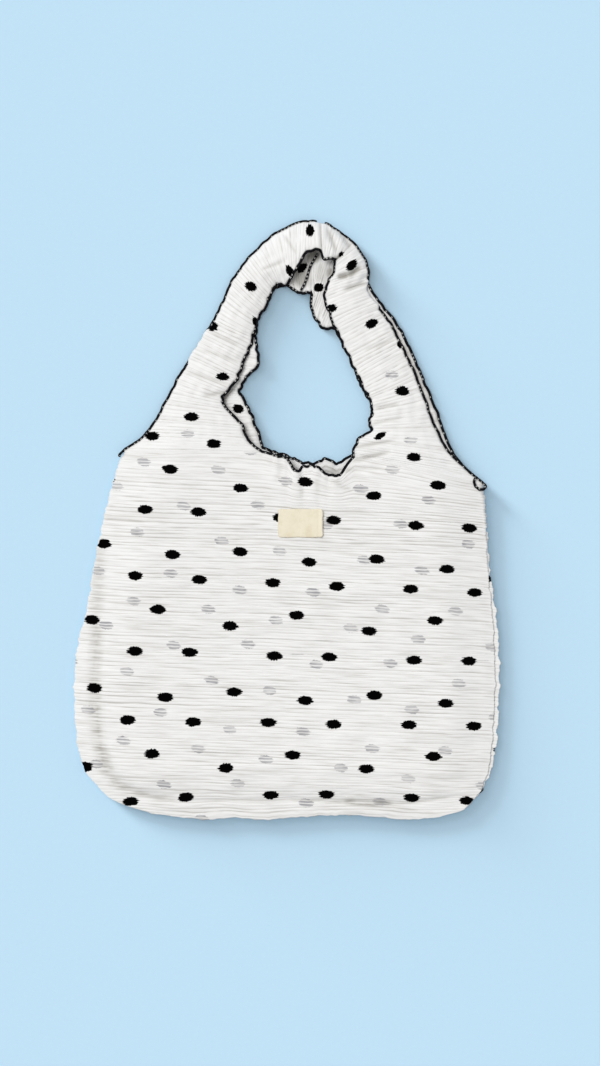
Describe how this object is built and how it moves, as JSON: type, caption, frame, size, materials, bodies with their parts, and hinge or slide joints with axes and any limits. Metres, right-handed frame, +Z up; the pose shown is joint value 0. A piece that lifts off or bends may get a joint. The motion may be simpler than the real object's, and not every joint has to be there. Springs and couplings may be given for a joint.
{
  "type": "shopper bag",
  "caption": "Soft shopper bag of fine pleated spotted cloth, lying flat, with a looped carrying strap at each side of its open neck and dark bound edges.",
  "frame": {"origin": "centre of the bag's outline on the surface it lies on", "axes": "+Z up from the surface it lies on, +Y along the bag from the hem towards the top of the carrying loops, +X to the right seen from above with the front panel on top"},
  "size_m": [0.3834, 0.5408, 0.0162],
  "materials": {
    "pleated_cloth": "off-white crinkled cloth in fine pleats with black oval spots",
    "black_thread": "black overlock thread, matt",
    "label_tape": "plain cream woven tape"
  },
  "bodies": {
    "root": {"front_panel": "pleated_cloth", "back_panel": "pleated_cloth", "front_neck_overlock": "black_thread", "back_neck_overlock": "black_thread", "left_armhole_overlock": "black_thread", "right_armhole_overlock": "black_thread", "front_strap_seam": "black_thread", "back_strap_seam": "black_thread", "label": "label_tape"}
  },
  "joints": []
}
